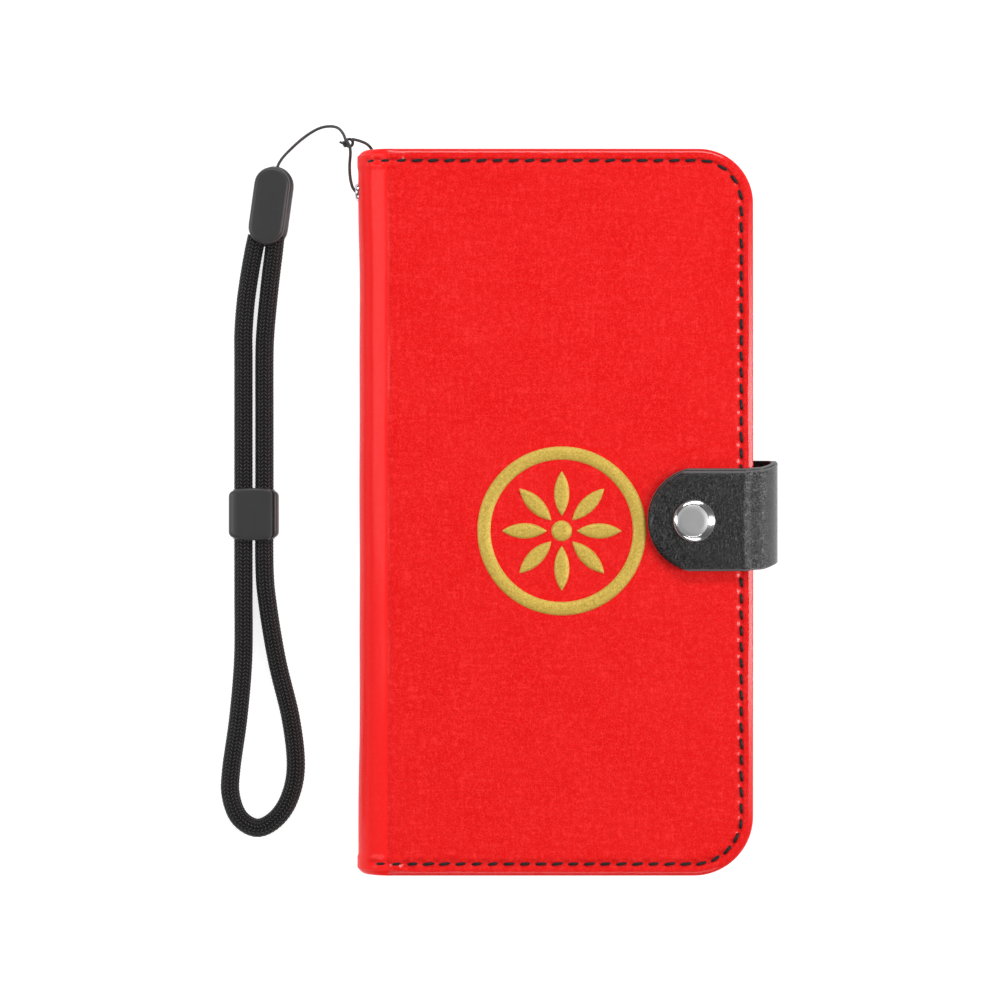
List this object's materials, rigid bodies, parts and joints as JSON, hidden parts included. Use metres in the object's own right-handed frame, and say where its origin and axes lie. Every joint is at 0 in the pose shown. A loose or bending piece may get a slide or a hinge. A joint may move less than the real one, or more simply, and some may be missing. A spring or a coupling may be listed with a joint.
{
  "type": "phone wallet case",
  "caption": "Folio wallet case for a phone, closed, with a snap closure strap, card and cash pockets and a braided wrist strap on the spine.",
  "frame": {"origin": "on the surface that the case lies on, under the middle of the box of the case without its wrist strap and cords", "axes": "+Z along the front cover's outward normal, +Y to the top edge, +X to the closure strap, so the spine is at -X"},
  "size_m": [0.1294, 0.1741, 0.0208],
  "materials": {
    "red_leather": "glossy grained artificial leather",
    "spine_leather": "glossier and smoother artificial leather",
    "lining_leather": "smooth satin lining",
    "board": "grey board",
    "tray_plastic": "soft matte moulding",
    "thread": "waxed thread",
    "gold_foil": "pressed gold, slightly worn",
    "strap_leather": "black artificial leather, glossy",
    "snap_metal": "brushed nickel",
    "eyelet_metal": "polished nickel",
    "clip_plastic": "satin dark grey",
    "cord_braid": "braided polyester",
    "cord_thin": "waxed thin cord"
  },
  "bodies": {
    "back_cover": {"back_cover_skin": "red_leather", "back_board": "board", "back_lining": "lining_leather", "back_stitching": "thread", "phone_tray": "tray_plastic", "strap_outer_tab": "strap_leather", "strap_lining_tab": "strap_leather", "hitch_loop": "cord_thin"},
    "spine": {"spine_skin": "spine_leather", "spine_lining": "lining_leather", "eyelet": "eyelet_metal", "eyelet_washer": "eyelet_metal"},
    "front_cover": {"front_cover_skin": "red_leather", "front_board": "board", "front_lining": "lining_leather", "front_stitching": "thread", "cash_pocket": "lining_leather", "card_pocket_1": "lining_leather", "card_pocket_2": "lining_leather", "card_pocket_3": "lining_leather", "snap_stud": "snap_metal", "snap_post": "snap_metal", "emblem": "gold_foil"},
    "strap_web": {"strap_outer_web": "strap_leather", "strap_lining_web": "strap_leather"},
    "strap_flap": {"strap_outer_flap": "strap_leather", "strap_lining_flap": "strap_leather", "snap_socket": "snap_metal", "snap_cap": "snap_metal"},
    "wrist_strap": {"clip_front": "clip_plastic", "clip_back": "clip_plastic", "wrist_cord": "cord_braid", "leash_cord": "cord_thin"},
    "slider": {"cord_slider": "clip_plastic"}
  },
  "joints": [
    {"name": "spine_fold", "type": "hinge", "parent": "back_cover", "child": "spine", "pos_m": [-0.04592, 0, 0.0025], "axis": [0, -1, 0], "range_deg": [0, 60], "deforming": ["hitch_loop"]},
    {"name": "cover_fold", "type": "hinge", "parent": "spine", "child": "front_cover", "pos_m": [-0.04592, 0, 0.0146], "axis": [0, -1, 0], "range_deg": [0, 108]},
    {"name": "strap_web_fold", "type": "hinge", "parent": "back_cover", "child": "strap_web", "pos_m": [0.04877, -0.002, 0.0009], "axis": [0, 1, 0], "range_deg": [0, 80]},
    {"name": "strap_flap_fold", "type": "hinge", "parent": "strap_web", "child": "strap_flap", "pos_m": [0.04877, -0.002, 0.0196], "axis": [0, 1, 0], "range_deg": [0, 80]},
    {"name": "wrist_strap_swing", "type": "hinge", "parent": "back_cover", "child": "wrist_strap", "pos_m": [-0.05058, 0.08575, 0.008], "axis": [0, 0, -1], "range_deg": [0, 60]},
    {"name": "slider_slide", "type": "slide", "parent": "wrist_strap", "child": "slider", "axis": [0, 1, 0], "range_m": [-0.005, 0.03]}
  ],
  "couplings": [
    {"joint": "cover_fold", "follows": "spine_fold", "ratio": 1.8},
    {"joint": "strap_flap_fold", "follows": "strap_web_fold", "ratio": 1}
  ]
}
